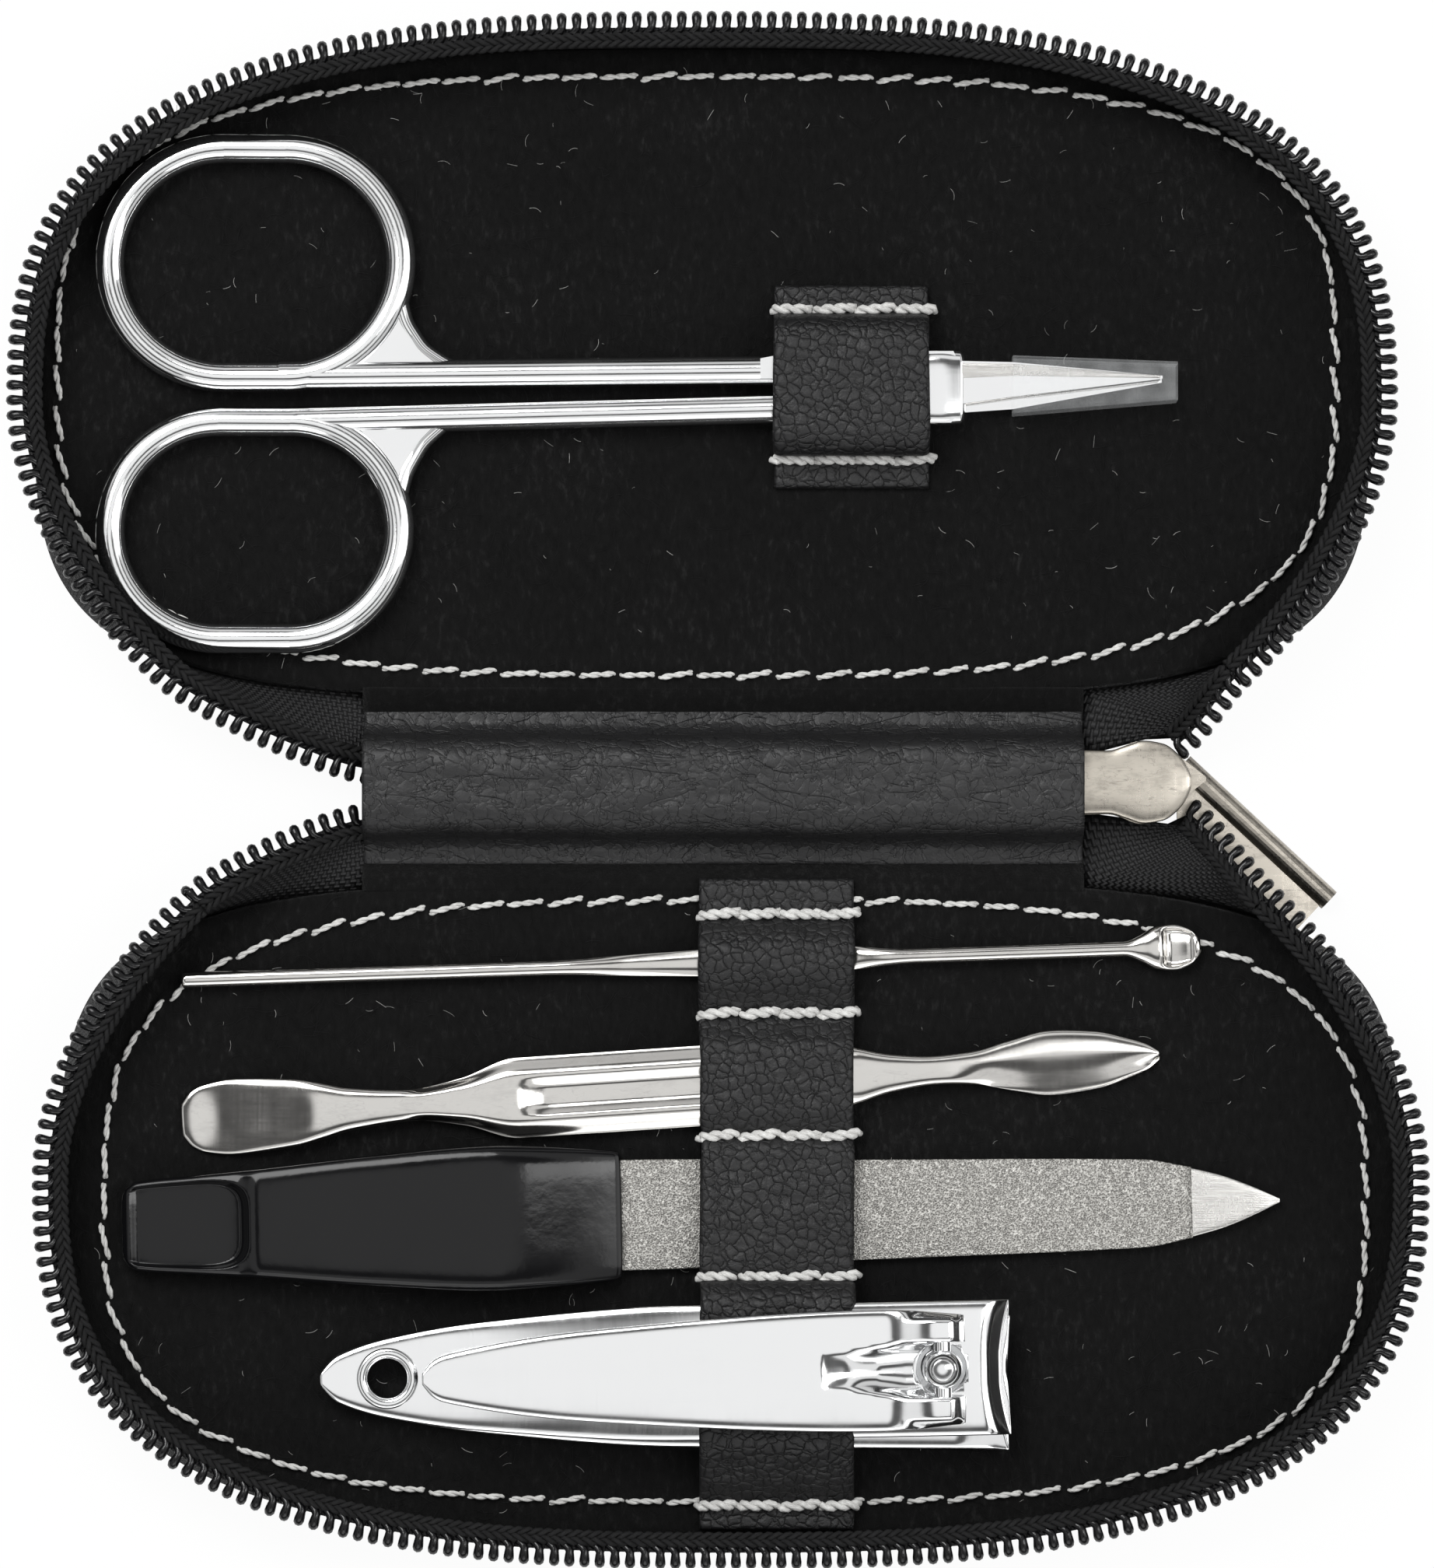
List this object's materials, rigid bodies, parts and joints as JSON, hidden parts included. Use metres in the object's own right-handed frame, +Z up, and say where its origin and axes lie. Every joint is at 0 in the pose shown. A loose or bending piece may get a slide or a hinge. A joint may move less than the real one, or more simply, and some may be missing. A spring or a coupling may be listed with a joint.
{
  "type": "manicure set case",
  "caption": "Oval zip-around leatherette case lying open, with nail scissors, ear pick, cuticle pusher, nail file, nail clipper and tweezers held by stitched loops and a spine pocket.",
  "frame": {"origin": "middle of the underside of the spine, where the open case lies on the table", "axes": "+X along the spine towards the zip slider, +Y towards the lid half with the scissors, +Z up out of the linings"},
  "size_m": [0.1143, 0.1252, 0.011],
  "materials": {
    "leather": "grained black leatherette",
    "strap": "coarse-grained black leatherette with a soft sheen",
    "board": "pressed board",
    "velvet": "black flocked velvet",
    "tape": "black woven zip tape",
    "coil": "black moulded nylon",
    "nickel": "worn nickel plate",
    "chrome": "bright chrome plate",
    "polished_steel": "polished steel",
    "grit": "sapphire grit on steel",
    "black_plastic": "glossy black plastic",
    "clear_sleeve": "clear soft plastic"
  },
  "bodies": {
    "base": {"base_shell": "leather", "base_board": "board", "base_lining": "velvet", "base_zip_tape": "tape", "base_zip_coil": "coil", "base_tape_ends": "tape", "tool_strap": "strap"},
    "spine": {"spine_cover": "leather", "spine_padding": "velvet", "spine_pocket": "strap", "zip_slider": "nickel"},
    "lid": {"lid_shell": "leather", "lid_board": "board", "lid_lining": "velvet", "lid_zip_tape": "tape", "lid_zip_coil": "coil", "lid_tape_ends": "tape", "scissor_strap": "strap"},
    "puller": {"zip_puller": "nickel"},
    "scissor_upper": {"scissor_upper_half": "chrome", "scissor_pivot_screw": "chrome"},
    "scissor_lower": {"scissor_lower_half": "chrome"},
    "sleeve": {"scissor_tip_sleeve": "clear_sleeve"},
    "ear_pick": {"ear_pick": "polished_steel"},
    "cuticle_pusher": {"cuticle_pusher": "polished_steel"},
    "nail_file": {"file_blade": "grit", "file_handle": "black_plastic"},
    "clipper": {"clipper_lower_jaw": "chrome", "clipper_tail_rivet": "chrome"},
    "clipper_jaw": {"clipper_upper_jaw": "chrome"},
    "clipper_post": {"clipper_post": "chrome"},
    "clipper_lever": {"clipper_lever": "chrome"},
    "tweezers": {"tweezer_lower_arm": "nickel"},
    "tweezer_arm": {"tweezer_upper_arm": "nickel"}
  },
  "joints": [
    {"name": "spine_fold", "type": "hinge", "parent": "base", "child": "spine", "pos_m": [0, -0.0065, 0.0015], "axis": [1, 0, 0], "range_deg": [0, 90], "deforming": ["base_tape_ends"]},
    {"name": "lid_fold", "type": "hinge", "parent": "spine", "child": "lid", "pos_m": [0, 0.0065, 0.0015], "axis": [1, 0, 0], "range_deg": [0, 90], "deforming": ["lid_tape_ends"]},
    {"name": "puller_swing", "type": "hinge", "parent": "spine", "child": "puller", "pos_m": [0.0379, 0.00205, 0.00095], "axis": [-0.682, -0.7314, 0], "range_deg": [-80, 0]},
    {"name": "scissor_slide", "type": "slide", "parent": "lid", "child": "scissor_upper", "axis": [-1, 0, 0], "range_m": [-0.012, 0]},
    {"name": "scissor_open", "type": "hinge", "parent": "scissor_upper", "child": "scissor_lower", "pos_m": [0.013, 0.0324, 0.004], "axis": [0, 0, -1], "range_deg": [-1, 0]},
    {"name": "sleeve_slide", "type": "slide", "parent": "scissor_upper", "child": "sleeve", "axis": [1, 0, 0], "range_m": [0, 0.013]},
    {"name": "ear_pick_slide", "type": "slide", "parent": "base", "child": "ear_pick", "axis": [-0.9995, -0.0332, 0], "range_m": [-0.006, 0]},
    {"name": "pusher_slide", "type": "slide", "parent": "base", "child": "cuticle_pusher", "axis": [-0.9978, -0.0663, 0], "range_m": [-0.013, 0]},
    {"name": "file_slide", "type": "slide", "parent": "base", "child": "nail_file", "axis": [-0.9997, -0.0227, 0], "range_m": [-0.0055, 0]},
    {"name": "clipper_slide", "type": "slide", "parent": "base", "child": "clipper", "axis": [-0.9998, -0.0192, 0], "range_m": [-0.019, 0]},
    {"name": "clipper_squeeze", "type": "hinge", "parent": "clipper", "child": "clipper_jaw", "pos_m": [-0.02399, -0.04744, 0.00382], "axis": [0.0192, -0.9998, 0], "range_deg": [-1.2, 0], "stiffness_Nm_per_rad": 0.1, "springref_deg": 2.86},
    {"name": "post_swivel", "type": "hinge", "parent": "clipper", "child": "clipper_post", "pos_m": [0.0175, -0.04665, 0.0028], "axis": [0, 0, 1], "range_deg": [-180, 0]},
    {"name": "lever_flip", "type": "hinge", "parent": "clipper_post", "child": "clipper_lever", "pos_m": [0.0175, -0.04665, 0.00925], "axis": [0.0192, -0.9998, 0], "range_deg": [-160, 0]},
    {"name": "tweezer_slide", "type": "slide", "parent": "spine", "child": "tweezers", "axis": [-1, 0, 0], "range_m": [-0.06, 0]},
    {"name": "tweezer_squeeze", "type": "hinge", "parent": "tweezers", "child": "tweezer_arm", "pos_m": [0.03125, 0.0005, 0.00347], "axis": [0, 1, 0], "range_deg": [-0.45, 0], "stiffness_Nm_per_rad": 0.1, "springref_deg": 1.15}
  ]
}
